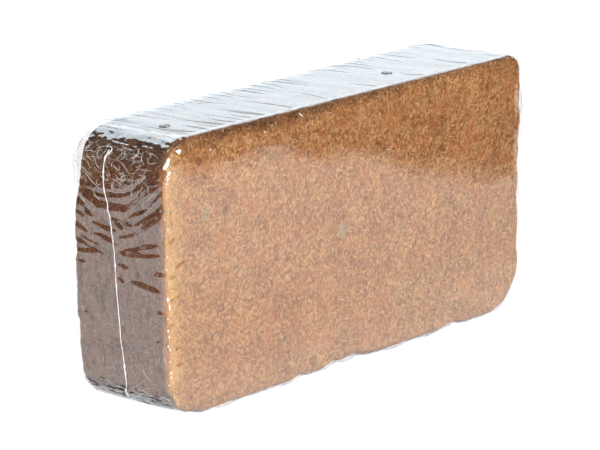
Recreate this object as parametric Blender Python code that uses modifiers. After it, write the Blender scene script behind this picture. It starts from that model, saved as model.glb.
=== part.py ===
"""Pressed coconut coir bale in a shrink-wrapped clear film, standing on its long edge.

Metres, +Z up. X runs along the length, Y through the thickness, and the broad face seen first is at -Y.
The origin is the middle of the base, on the surface that the bale stands on.
"""

import math

import bmesh
import bpy
from mathutils import Vector, noise

# The pressed bale
BALE_LENGTH = 0.200
BALE_THICKNESS = 0.043
BALE_HEIGHT = 0.100
CORNER_RADII = {"left_top": 0.012, "right_top": 0.009, "left_base": 0.017, "right_base": 0.018}
BALE_RIM_RADIUS = 0.0035
BALE_GRID = 0.0085

# Crumbled relief of the bale, always inward of its pressed faces
LUMP_DEPTH = 0.0008
LUMP_SIZE = 0.016
CRUMBLE_DEPTH = 0.0012
CRUMBLE_SIZE = 0.009
BASE_RELIEF_SHARE = 0.15

# Upper back corner of the left end, crumbled away under the film
WORN_DEPTH = 0.0034
WORN_SIZE = 0.015
WORN_Z = 0.094

# The film around it
FILM_THICKNESS = 0.0004
FILM_GAP = 0.0007
REST_GAP = 0.0003
FILM_RIM_RADIUS = 0.0025
FILM_GRID = 0.009
FILM_GRID_ACROSS = 0.0099
CORNER_CUTS = (0.004, 0.010)

# Pleats that run across the top
PLEAT_PITCH = FILM_GRID
PLEAT_HEIGHT = 0.0006

# Welded seam down the middle of each end: it leans across the end as it rises, and sways aside near the top
SEAM_FOOT_Y = -0.0030
SEAM_LEAN = 0.091
SEAM_SWAY = 0.0030
SEAM_SWAY_Z = 0.080
SEAM_SWAY_SIZE = 0.014
SEAM_HALF_WIDTH = 0.0009
SEAM_HEIGHT = 0.0011
SEAM_TOP_Z = 0.0978
SEAM_FADE = 0.004
SEAM_KNOT_Z = 0.0905
SEAM_KNOT_SIZE = 0.005
SEAM_KNOT_HEIGHT = 0.0007

# Slack film that puffs out along the base rims
PUFF_HEIGHT = 0.0009
PUFF_PITCH = 0.047
PUFF_TOP = 0.012

# Vent holes punched in the top
VENT_RADIUS = 0.0017
VENT_SIDES = 12
VENT_TURN = math.radians(11)
VENT_CUT_DEPTH = 0.010
VENT_PLACES = ((-0.0815, -0.0055), (0.0367, -0.0078))

MERGE_DISTANCE = 0.000001
GRADIENT_STEP = 0.00001

FILM_BASE_Z = FILM_THICKNESS
BALE_BASE_Z = FILM_BASE_Z + REST_GAP
BALE_TOP_Z = BALE_BASE_Z + BALE_HEIGHT
FILM_TOP_Z = BALE_TOP_Z + FILM_GAP
FILM_HALF_LENGTH = BALE_LENGTH / 2 + FILM_GAP
FILM_HALF_THICKNESS = BALE_THICKNESS / 2 + FILM_GAP
BASE_CORNER_X = FILM_HALF_LENGTH - CORNER_RADII["left_base"]


def clear_scene():
    for found in list(bpy.data.objects):
        bpy.data.objects.remove(found)


def new_collection(name):
    made = bpy.data.collections.new(name)
    bpy.context.scene.collection.children.link(made)
    return made


def make_material(name, colour, roughness, transmission=0.0):
    made = bpy.data.materials.new(name)
    made.use_nodes = True
    shader = made.node_tree.nodes["Principled BSDF"]
    shader.inputs["Base Color"].default_value = (*colour, 1.0)
    shader.inputs["Roughness"].default_value = roughness
    shader.inputs["Metallic"].default_value = 0.0
    shader.inputs["Transmission Weight"].default_value = transmission
    return made


class RoundedSlab:
    """A slab whose broad-face outline has four corner radii and whose rims are rounded."""

    def __init__(self, half_length, half_thickness, base_z, top_z, rim_radius, extra_radius=0.0):
        self.half_length = half_length
        self.half_thickness = half_thickness
        self.middle_z = (base_z + top_z) / 2
        self.half_height = (top_z - base_z) / 2
        self.rim_radius = rim_radius
        self.extra_radius = extra_radius

    def corner_radius(self, x, z):
        side = "right" if x > 0 else "left"
        level = "top" if z > 0 else "base"
        return CORNER_RADII[f"{side}_{level}"] + self.extra_radius

    def distance(self, point):
        """Signed distance from the slab's surface, negative inside."""
        x, y, z = point.x, point.y, point.z - self.middle_z
        radius = self.corner_radius(x, z)
        outside_x = abs(x) - self.half_length + radius
        outside_z = abs(z) - self.half_height + radius
        outline = rounded(outside_x, outside_z) - radius
        across = abs(y) - self.half_thickness + self.rim_radius
        return rounded(outline + self.rim_radius, across) - self.rim_radius

    def normal(self, point):
        steps = [Vector([GRADIENT_STEP if n == axis else 0.0 for n in range(3)]) for axis in range(3)]
        return Vector([self.distance(point + s) - self.distance(point - s) for s in steps]).normalized()

    def project(self, point):
        """The surface point nearest to one on the slab's bounding block, and the surface's normal there."""
        moved = point.copy()
        for _ in range(3):
            moved = moved - self.normal(moved) * self.distance(moved)
        return moved, self.normal(moved)


def rounded(a, b):
    return min(max(a, b), 0.0) + math.hypot(max(a, 0.0), max(b, 0.0))


def smooth_step(low, high, value):
    share = min(max((value - low) / (high - low), 0.0), 1.0)
    return share * share * (3 - 2 * share)


def hump(distance, size):
    return math.exp(-((distance / size) ** 2))


def spaced(low, high, pitch):
    """Evenly spaced cuts between two ends, as close to the pitch as a whole number allows."""
    count = max(1, round((high - low) / pitch))
    return [low + (high - low) * n / count for n in range(1, count)]


def cut_grid(mesh, axis, places, faces=None):
    """Cuts the block's faces, or only those given by a test, along planes across an axis."""
    direction = Vector([1.0 if n == axis else 0.0 for n in range(3)])
    for place in places:
        chosen = [f for f in mesh.faces if faces is None or faces(f)]
        edges = {e for f in chosen for e in f.edges}
        verts = {v for f in chosen for v in f.verts}
        bmesh.ops.bisect_plane(
            mesh,
            geom=[*chosen, *edges, *verts],
            plane_co=direction * place,
            plane_no=direction,
            dist=MERGE_DISTANCE,
        )


def block(slab):
    """A plain block just around a rounded slab."""
    mesh = bmesh.new()
    bmesh.ops.create_cube(mesh, size=2.0)
    scale = Vector((slab.half_length, slab.half_thickness, slab.half_height))
    bmesh.ops.scale(mesh, vec=scale, verts=mesh.verts)
    bmesh.ops.translate(mesh, vec=Vector((0, 0, slab.middle_z)), verts=mesh.verts)
    mesh.normal_update()
    return mesh


def finish_object(mesh, name, collection, material):
    data = bpy.data.meshes.new(name)
    mesh.to_mesh(data)
    mesh.free()
    data.materials.append(material)
    data.shade_smooth()
    data.set_sharp_from_angle(angle=math.radians(50))
    made = bpy.data.objects.new(name, data)
    collection.objects.link(made)
    return made


def bale_relief(point, normal):
    """How far the surface lies inside the pressed shape: broad lumps, lost crumbs and the worn corner."""
    lumps = 0.5 + 0.5 * noise.noise(point / LUMP_SIZE)
    crumbs = max(0.0, noise.noise(point / CRUMBLE_SIZE + Vector((7.0, 3.0, 5.0))))
    flatness = max(abs(normal.x), abs(normal.y), abs(normal.z))
    rim = 1.0 - smooth_step(0.80, 0.99, flatness)
    worn_corner = Vector((-BALE_LENGTH / 2, BALE_THICKNESS / 2, WORN_Z))
    worn = WORN_DEPTH * hump((point - worn_corner).length, WORN_SIZE)
    relief = LUMP_DEPTH * lumps + CRUMBLE_DEPTH * crumbs * rim + worn
    return relief * (BASE_RELIEF_SHARE + (1 - BASE_RELIEF_SHARE) * off_base(normal))


def make_bale(collection, material):
    slab = RoundedSlab(BALE_LENGTH / 2, BALE_THICKNESS / 2, BALE_BASE_Z, BALE_TOP_Z, BALE_RIM_RADIUS)
    mesh = block(slab)
    inner_x = BALE_LENGTH / 2 - CORNER_RADII["right_base"]
    cut_grid(mesh, 0, [-inner_x, *spaced(-inner_x, inner_x, BALE_GRID), inner_x])
    cut_grid(mesh, 0, [side * (BALE_LENGTH / 2 - BALE_RIM_RADIUS * n) for side in (-1, 1) for n in (1, 3)])
    rim_y = BALE_THICKNESS / 2 - BALE_RIM_RADIUS
    cut_grid(mesh, 1, [-rim_y, *spaced(-rim_y, rim_y, BALE_GRID), rim_y])
    low_z = BALE_BASE_Z + CORNER_RADII["left_base"]
    high_z = BALE_TOP_Z - CORNER_RADII["left_top"]
    cut_grid(mesh, 2, [low_z, *spaced(low_z, high_z, BALE_GRID), high_z])
    cut_grid(mesh, 2, [BALE_BASE_Z + BALE_RIM_RADIUS * n for n in (1, 3)])
    cut_grid(mesh, 2, [BALE_TOP_Z - BALE_RIM_RADIUS])
    for vertex in mesh.verts:
        surface, normal = slab.project(vertex.co)
        vertex.co = surface - normal * bale_relief(surface, normal)
    return finish_object(mesh, "coir_bale", collection, material)


def seam_y(z):
    """Where the end seam lies across the end, at a height."""
    return SEAM_FOOT_Y + SEAM_LEAN * z + SEAM_SWAY * hump(z - SEAM_SWAY_Z, SEAM_SWAY_SIZE)


def off_base(normal):
    """0 where the surface faces straight down and the bale stands on it, and 1 on its rims and above."""
    return 1 - smooth_step(0.80, 0.99, -normal.z)


def film_relief(point, normal, seam_share):
    """How far the film stands out from its tight shape: seam, knot and pleats."""
    under_top = 1 - smooth_step(SEAM_TOP_Z - SEAM_FADE, SEAM_TOP_Z, point.z)
    seam = SEAM_HEIGHT * seam_share * off_base(normal) * under_top
    knot_distance = math.hypot(point.y - seam_y(SEAM_KNOT_Z), point.z - SEAM_KNOT_Z)
    knot = SEAM_KNOT_HEIGHT * hump(knot_distance, SEAM_KNOT_SIZE) * abs(normal.x)
    pleat = 0.5 + 0.5 * math.cos(2 * math.pi * point.x / PLEAT_PITCH)
    pleats = PLEAT_HEIGHT * pleat * max(0.0, normal.z) ** 2
    return seam + knot + pleats


def film_puff(point, normal):
    """How far the film puffs out sideways just above the base, in shallow scallops."""
    scallop = 0.5 + 0.5 * math.sin(2 * math.pi * point.x / PUFF_PITCH)
    near_base = 1 - smooth_step(0.0, PUFF_TOP, point.z - FILM_BASE_Z)
    return PUFF_HEIGHT * scallop * near_base * off_base(normal) * normal.y


def carries_seam(place):
    """True on the ends of the film's block, and on its base under their rounded lower corners."""
    on_end = abs(place.x) > FILM_HALF_LENGTH - MERGE_DISTANCE
    on_base = place.z < FILM_BASE_Z + MERGE_DISTANCE
    return on_end or (on_base and abs(place.x) > BASE_CORNER_X - MERGE_DISTANCE)


def shear_to_seam(mesh):
    """Slides the end columns so that the middle one follows the seam, and gives that column's vertices."""
    on_seam = set()
    for vertex in mesh.verts:
        if not carries_seam(vertex.co):
            continue
        if abs(vertex.co.y) < SEAM_HALF_WIDTH / 2:
            on_seam.add(vertex)
        hold = 1 - (vertex.co.y / FILM_HALF_THICKNESS) ** 2
        vertex.co.y += seam_y(vertex.co.z) * hold
    return on_seam


def cut_film_grid(mesh):
    """Cuts the film's block finely where it bends, pleats or is welded, and coarsely on the broad faces."""
    whole_pleats = round(BASE_CORNER_X / PLEAT_PITCH)
    pleats = [n * PLEAT_PITCH for n in range(-whole_pleats, whole_pleats + 1)]
    corner_depths = (*CORNER_CUTS, FILM_HALF_LENGTH - BASE_CORNER_X)
    cut_grid(mesh, 0, pleats)
    cut_grid(mesh, 0, [side * (FILM_HALF_LENGTH - depth) for side in (-1, 1) for depth in corner_depths])
    top_z = FILM_TOP_Z - MERGE_DISTANCE
    valleys = [(a + b) / 2 for a, b in zip(pleats, pleats[1:])]
    cut_grid(mesh, 0, valleys, lambda f: min(v.co.z for v in f.verts) > top_z)
    rim_y = FILM_HALF_THICKNESS - FILM_RIM_RADIUS
    cut_grid(mesh, 1, [-rim_y, *spaced(-rim_y, rim_y, FILM_GRID_ACROSS), rim_y])
    base_corner = FILM_BASE_Z + CORNER_RADII["left_base"]
    top_corner = FILM_TOP_Z - CORNER_RADII["left_top"]
    cut_grid(mesh, 2, [base_corner, *spaced(base_corner, top_corner, FILM_GRID), top_corner])
    cut_grid(mesh, 2, [FILM_BASE_Z + depth for depth in CORNER_CUTS])
    cut_grid(mesh, 2, [FILM_TOP_Z - CORNER_CUTS[0]])
    seam_columns = [-SEAM_HALF_WIDTH, 0.0, SEAM_HALF_WIDTH]
    cut_grid(mesh, 1, seam_columns, lambda f: all(carries_seam(v.co) for v in f.verts))


def make_film(collection, material):
    slab = RoundedSlab(
        FILM_HALF_LENGTH, FILM_HALF_THICKNESS, FILM_BASE_Z, FILM_TOP_Z, FILM_RIM_RADIUS, FILM_GAP
    )
    mesh = block(slab)
    cut_film_grid(mesh)
    on_seam = shear_to_seam(mesh)
    for vertex in mesh.verts:
        surface, normal = slab.project(vertex.co)
        vertex.co = surface + normal * film_relief(surface, normal, vertex in on_seam)
        vertex.co.y += film_puff(surface, normal)
    film = finish_object(mesh, "shrink_film", collection, material)
    shell = film.modifiers.new("film thickness", "SOLIDIFY")
    shell.thickness = FILM_THICKNESS
    shell.offset = 1.0
    shell.use_even_offset = True
    return film


def punch_vents(film, collection):
    """Punches the round vent holes through the top of the film, and gives the cutters that do it."""
    cutters = []
    for number, (x, y) in enumerate(VENT_PLACES, start=1):
        bpy.ops.mesh.primitive_cylinder_add(
            vertices=VENT_SIDES,
            radius=VENT_RADIUS,
            depth=VENT_CUT_DEPTH,
            location=(x, y, FILM_TOP_Z),
            rotation=(0.0, 0.0, VENT_TURN),
        )
        cutter = bpy.context.object
        cutter.name = f"vent_cutter_{number}"
        for holder in list(cutter.users_collection):
            holder.objects.unlink(cutter)
        collection.objects.link(cutter)
        cutter.hide_render = True
        cutter.display_type = "WIRE"
        vent = film.modifiers.new(f"vent {number}", "BOOLEAN")
        vent.operation = "DIFFERENCE"
        vent.object = cutter
        cutters.append(cutter)
    return cutters


def centre_across(film, others):
    """Moves the film and what goes with it so that its middle, front to back, is over the origin."""
    sides = [vertex.co.y for vertex in film.data.vertices]
    middle = (min(sides) + max(sides)) / 2
    for moved in (film, *others):
        moved.location.y = -middle


def main():
    clear_scene()
    parts = new_collection("coconut coir bale")
    cutter_collection = new_collection("cutters")
    coir = make_material("pressed coir", (0.34, 0.165, 0.075), 0.95)
    clear_film = make_material("clear film", (0.93, 0.95, 0.97), 0.08, transmission=1.0)
    bale = make_bale(parts, coir)
    film = make_film(parts, clear_film)
    vent_cutters = punch_vents(film, cutter_collection)
    centre_across(film, [bale, *vent_cutters])


main()
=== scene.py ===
"""Looks of the pressed coconut coir bale in its clear film. Metres, +Z up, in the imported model's frame."""
import math

import bpy
import numpy as np
from mathutils import Matrix, Vector


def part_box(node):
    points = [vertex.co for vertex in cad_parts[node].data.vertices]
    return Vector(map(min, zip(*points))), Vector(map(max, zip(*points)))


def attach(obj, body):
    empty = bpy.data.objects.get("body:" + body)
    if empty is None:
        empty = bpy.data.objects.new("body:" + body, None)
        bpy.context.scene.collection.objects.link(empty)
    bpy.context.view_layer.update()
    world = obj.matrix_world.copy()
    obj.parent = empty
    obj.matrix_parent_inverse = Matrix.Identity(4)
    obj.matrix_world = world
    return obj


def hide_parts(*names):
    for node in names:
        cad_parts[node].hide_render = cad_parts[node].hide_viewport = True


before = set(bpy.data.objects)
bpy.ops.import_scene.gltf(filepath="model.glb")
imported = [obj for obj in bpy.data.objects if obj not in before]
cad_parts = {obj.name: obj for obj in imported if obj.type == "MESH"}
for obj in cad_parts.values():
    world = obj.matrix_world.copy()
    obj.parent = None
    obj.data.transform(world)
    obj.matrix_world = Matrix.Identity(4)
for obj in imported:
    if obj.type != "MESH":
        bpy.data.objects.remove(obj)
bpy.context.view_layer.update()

MM = 0.001

# The pressed block, as the frame has it
BALE_LOW, BALE_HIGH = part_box("coir_bale")
FILM_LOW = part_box("shrink_film")[0]
MIDDLE_Y = (BALE_LOW.y + BALE_HIGH.y) / 2
HALF_LENGTH = (BALE_HIGH.x - BALE_LOW.x) / 2
HALF_THICKNESS = (BALE_HIGH.y - BALE_LOW.y) / 2
BALE_TOP = BALE_HIGH.z
CORNER_RADII = {"left_top": 0.012, "right_top": 0.0068, "left_base": 0.017, "right_base": 0.018}
BALE_RIM = 0.0026
COIR_SWELL = 0.0004
WORN_CORNER = (-HALF_LENGTH, MIDDLE_Y + HALF_THICKNESS, 0.094)
FLOOR_Z = min(0.0, FILM_LOW.z) - 0.00005

# Film
WRINKLE = "wrinkle"
# Film attribute: grey-blue, partly the folded film's own tint and partly painted shade
FOLD_SHADE = "fold"
# Coir attribute: where its colour is darkened, partly wear and partly painted shade
WEAR_AND_SHADE = "edge"
DARKNESS = "darkness"
VENT_RADIUS = 0.0011
VENT_PLACES = ((-0.0815, -0.0055), (0.0367, -0.0078))
FILM_GAP = 0.00075
FILM_RIM = 0.0025
FILM_BASE = 0.0002
COIR_BASE = FILM_BASE + 0.0002
# The share of the coir's chipped base rim that the film follows
FILM_FOLLOW = 0.80
SEAM_LIFT = 0.0002

# Points along each drawn line, and cells of the sheets that the film mirrors
PLEAT_POINTS = 16
CREASE_POINTS = 18
FOOT_POINTS = 14
GLINT_POINTS = 9
SEAM_POINTS = 260
HOOK_POINTS = 40
FLAG_CELLS = (300, 200)
DOME_CELLS = (25, 9)
DOME_RADIUS = 3.0

# Camera, worked out from the photo's corners and outline
CAMERA_PLACE = (-0.88811, -0.77531, 0.34357)
CAMERA_AZIMUTH = -48.729
CAMERA_ELEVATION = 14.028
CAMERA_ROLL = -0.833
CAMERA_LENS = 196.9
SENSOR_WIDTH = 36.0
FLOOR_WHITE = 1.10


# Shared forms


def stack(*parts):
    """Coordinates given one by one, as points."""
    return np.stack(parts, -1)


def taper(margin, count):
    """Shares that swell and shrink again along a line of points."""
    return np.sin(np.linspace(margin, math.pi - margin, count))


def rim_share(normals, low, high):
    """1 on the rims, where no axis is square to the surface, and 0 on the flat faces."""
    return 1 - smooth(low, high, np.max(np.abs(normals), axis=-1))


def upright_rim(normals):
    return 4 * np.clip(np.abs(normals[..., 0] * normals[..., 1]), 0, 0.25)


# Noise

GRADIENTS = np.random.default_rng(7).normal(size=(256, 3))
GRADIENTS /= np.linalg.norm(GRADIENTS, axis=1, keepdims=True)
SHUFFLE = np.random.default_rng(8).permutation(256)


def noise(points, seed=0):
    """Gradient noise, about -1 to 1, for an array of points whose cells are one unit wide."""
    points = np.asarray(points, float)
    cell = np.floor(points).astype(int)
    inside = points - cell
    ease = inside ** 3 * (inside * (inside * 6 - 15) + 10)
    total = np.zeros(points.shape[:-1])
    for corner in np.ndindex(2, 2, 2):
        corner = np.array(corner)
        at = cell + corner
        key = SHUFFLE[(at[..., 0] + seed) & 255]
        key = SHUFFLE[(key + at[..., 1]) & 255]
        key = SHUFFLE[(key + at[..., 2]) & 255]
        weight = np.prod(np.where(corner == 1, ease, 1 - ease), axis=-1)
        total += weight * np.sum(GRADIENTS[key] * (inside - corner), axis=-1)
    return total * 1.6


def fractal(points, octaves, seed=0):
    total = 0.0
    for n in range(octaves):
        total = total + noise(np.asarray(points) * 2 ** n, seed + 31 * n) / 2 ** n
    return total


def smooth(low, high, value):
    share = np.clip((value - low) / (high - low), 0.0, 1.0)
    return share * share * (3 - 2 * share)


def hump(distance, size):
    return np.exp(-((distance / size) ** 2))


# The rounded slab that both the bale and its film follow

class Slab:
    """A slab with four corner radii on its broad-face outline and a rounded rim."""

    def __init__(self, half_length, half_thickness, base, top, rim, extra_radius=0.0):
        self.half = np.array([half_length, half_thickness, (top - base) / 2])
        self.middle = np.array([0.0, MIDDLE_Y, (top + base) / 2])
        self.rim = rim
        self.extra_radius = extra_radius

    def distance(self, points):
        x, y, z = np.moveaxis(points - self.middle, -1, 0)
        top = np.where(x > 0, CORNER_RADII["right_top"], CORNER_RADII["left_top"])
        base = np.where(x > 0, CORNER_RADII["right_base"], CORNER_RADII["left_base"])
        radius = np.where(z > 0, top, base) + self.extra_radius
        outline = rounded(abs(x) - self.half[0] + radius, abs(z) - self.half[2] + radius) - radius
        # The rim seen first is the sharpest, and the front's upper rim is a little sharper than the others
        first = smooth(0.086, 0.097, -x) * (y < 0) * (1 - smooth(0.034, 0.042, z))
        upper = smooth(0.040, 0.048, z) * (y < 0)
        rim = self.rim * (1 - 0.80 * first - 0.35 * upper)
        return rounded(outline + rim, abs(y) - self.half[1] + rim) - rim

    def normal(self, points):
        step = 0.00001
        slope = [self.distance(points + move) - self.distance(points - move) for move in step * np.eye(3)]
        slope = np.stack(slope, axis=-1)
        return slope / np.linalg.norm(slope, axis=-1, keepdims=True)

    def project(self, points):
        """The surface points nearest to points on the slab's bounding block, and the normals there."""
        for _ in range(3):
            points = points - self.normal(points) * self.distance(points)[..., None]
        return points, self.normal(points)

    def block(self, x_lines, y_lines, z_lines):
        """Vertices and quads of the bounding block, with its faces cut along these lines (-1 to 1 each)."""
        lines = [np.asarray(each) * half + centre
                 for each, half, centre in zip((x_lines, y_lines, z_lines), self.half, self.middle)]
        counts = [len(each) for each in lines]
        quads = []
        for axis in range(3):
            u, v = (axis + 1) % 3, (axis + 2) % 3
            iu, iv = np.meshgrid(np.arange(counts[u] - 1), np.arange(counts[v] - 1), indexing="ij")
            for last in (False, True):
                corners = []
                for du, dv in ((0, 0), (1, 0), (1, 1), (0, 1)) if last else ((0, 0), (0, 1), (1, 1), (1, 0)):
                    index = [None, None, None]
                    index[axis] = np.full(iu.shape, counts[axis] - 1 if last else 0)
                    index[u] = iu + du
                    index[v] = iv + dv
                    corners.append((index[0] * counts[1] + index[1]) * counts[2] + index[2])
                quads.append(np.stack([c.ravel() for c in corners], axis=-1))
        quads = np.concatenate(quads)
        used, quads = np.unique(quads, return_inverse=True)
        quads = quads.reshape(-1, 4)
        ix, rest = np.divmod(used, counts[1] * counts[2])
        iy, iz = np.divmod(rest, counts[2])
        return stack(lines[0][ix], lines[1][iy], lines[2][iz]), quads


def rounded(a, b):
    return np.minimum(np.maximum(a, b), 0.0) + np.hypot(np.maximum(a, 0.0), np.maximum(b, 0.0))


BALE = Slab(HALF_LENGTH + COIR_SWELL, HALF_THICKNESS + COIR_SWELL, COIR_BASE, BALE_TOP + COIR_SWELL, BALE_RIM,
            COIR_SWELL)
FILM = Slab(HALF_LENGTH + FILM_GAP, HALF_THICKNESS + FILM_GAP, FILM_BASE, BALE_TOP + FILM_GAP, FILM_RIM,
            FILM_GAP)


# Making objects

def placed(name, data):
    made = bpy.data.objects.new(name, data)
    bpy.context.scene.collection.objects.link(made)
    return made


def mesh_object(name, verts, faces, material):
    data = bpy.data.meshes.new(name)
    data.from_pydata(np.asarray(verts).tolist(), [], faces if isinstance(faces, list) else faces.tolist())
    data.materials.append(material)
    return placed(name, data)


def new_object(name, verts, faces, material, slot):
    made = mesh_object(name, verts, faces, material)
    made.data.shade_smooth()
    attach(made, "root")
    return made


def add_layer(made, name, values):
    layer = made.data.attributes.new(name, "FLOAT", "POINT")
    layer.data.foreach_set("value", values.astype(np.float32))


def joined(parts):
    """One vertex array and one face list from (vertices, faces) parts."""
    verts, faces, base = [], [], 0
    for part_verts, part_faces in parts:
        verts.append(part_verts)
        faces.extend([[index + base for index in face] for face in part_faces])
        base += len(part_verts)
    return np.concatenate(verts), faces


def grid_quads(rows, columns):
    number = np.arange(rows * columns).reshape(rows, columns)
    return stack(number[:-1, :-1], number[1:, :-1], number[1:, 1:], number[:-1, 1:]).reshape(-1, 4)


class Nodes:
    """Short forms for building the node tree of a material or the world."""

    def __init__(self, owner, output="OutputMaterial"):
        owner.use_nodes = True
        self.owner = owner
        self.tree = owner.node_tree
        self.tree.nodes.clear()
        self.output = self.add(output)

    def add(self, kind, settings=None, **inputs):
        node = self.tree.nodes.new("ShaderNode" + kind)
        for key, value in (settings or {}).items():
            setattr(node, key, value)
        for key, value in inputs.items():
            self.put(node, key.replace("_", " "), value)
        return node

    def put(self, node, key, value):
        socket = node.inputs[int(key)] if key.isdigit() else node.inputs[key]
        if isinstance(value, bpy.types.Node):
            value = value.outputs[0]
        if isinstance(value, bpy.types.NodeSocket):
            self.tree.links.new(value, socket)
        else:
            socket.default_value = value

    def attribute(self, name):
        return self.add("Attribute", {"attribute_name": name}).outputs["Fac"]

    def split(self, vector):
        return self.add("SeparateXYZ", Vector=vector).outputs

    def times(self, *values):
        return self.math("MULTIPLY", *values)

    def centred(self, value):
        return self.math("SUBTRACT", value, 0.5)

    def blend(self, share, first, second):
        """The first shader where share is 0, and the second where it is 1."""
        node = self.add("MixShader")
        for key, value in zip("012", (share, first, second)):
            self.put(node, key, value)
        return node

    def math(self, operation, *values, clamp=False):
        node = self.add("Math", {"operation": operation, "use_clamp": clamp})
        for n, value in enumerate(values):
            self.put(node, str(n), value)
        return node

    def vector_math(self, operation, *values):
        node = self.add("VectorMath", {"operation": operation})
        for n, value in enumerate(values):
            self.put(node, str(n), value)
        return node

    def ramp(self, factor, *stops):
        """A colour ramp through (place, colour) stops."""
        node = self.add("ValToRGB")
        elements = node.color_ramp.elements
        while len(elements) < len(stops):
            elements.new(0.5)
        for element, (place, colour) in zip(elements, stops):
            element.position = place
            element.color = (*colour, 1.0) if len(colour) == 3 else colour
        self.put(node, "Fac", factor)
        return node

    def span(self, value, low, high, out_low=0.0, out_high=1.0):
        node = self.add("MapRange", {"interpolation_type": "SMOOTHSTEP"})
        for key, given in (("Value", value), ("From Min", low), ("From Max", high),
                           ("To Min", out_low), ("To Max", out_high)):
            self.put(node, key, given)
        return node

    def mix(self, factor, a, b, blend="MIX"):
        node = self.add("Mix", {"data_type": "RGBA", "blend_type": blend})
        self.put(node, "0", factor)
        self.put(node, "6", (*a, 1.0) if isinstance(a, tuple) else a)
        self.put(node, "7", (*b, 1.0) if isinstance(b, tuple) else b)
        return node.outputs[2]

    def noise(self, vector, scale, detail=2.0, roughness=0.5, **more):
        return self.add("TexNoise", Vector=vector, Scale=scale, Detail=detail,
                        Roughness=roughness, **more)

    def place(self):
        return self.add("TexCoord").outputs["Object"]

    def stretched(self, vector, scale, turn=(0.0, 0.0, 0.0)):
        node = self.add("Mapping")
        self.put(node, "Vector", vector)
        self.put(node, "Scale", scale)
        self.put(node, "Rotation", turn)
        return node

    def finish(self, shader):
        self.put(self.output, "Surface", shader)
        return self.owner


def material_nodes(name):
    return Nodes(bpy.data.materials.new(name))


# Materials

COIR_SHADOW = (0.190, 0.088, 0.040)
COIR_DARK = (0.270, 0.112, 0.042)
COIR_RED = (0.480, 0.172, 0.066)
COIR_BROWN = (0.385, 0.160, 0.057)
COIR_TAN = (0.510, 0.242, 0.092)
COIR_GOLD = (0.610, 0.360, 0.155)
COIR_OLIVE = (0.380, 0.245, 0.105)
# Dark crumbs and specks, and also the colour of the painted shade on the coir's top and upper rims
COIR_CRUMB_AND_SHADE = (0.100, 0.040, 0.018)
COIR_MARGIN = (0.760, 0.440, 0.160)
COIR_END = (0.880, 0.700, 0.740)
FIBRE_PALE = (0.850, 0.650, 0.410)

# Stained places on the front: x, z and radius in millimetres, colour, share
COIR_MARKS = (
    (-5.8, 51.8, 4.2, (0.330, 0.300, 0.190), 0.75), (-78.6, 71, 3, (0.300, 0.260, 0.170), 0.75),
    (52.7, 71.8, 2.2, (0.180, 0.040, 0.028), 0.8), (4, 64, 1.6, (0.230, 0.190, 0.130), 0.7),
    (-22, 36, 1.4, (0.200, 0.120, 0.085), 0.6),
)


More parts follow.
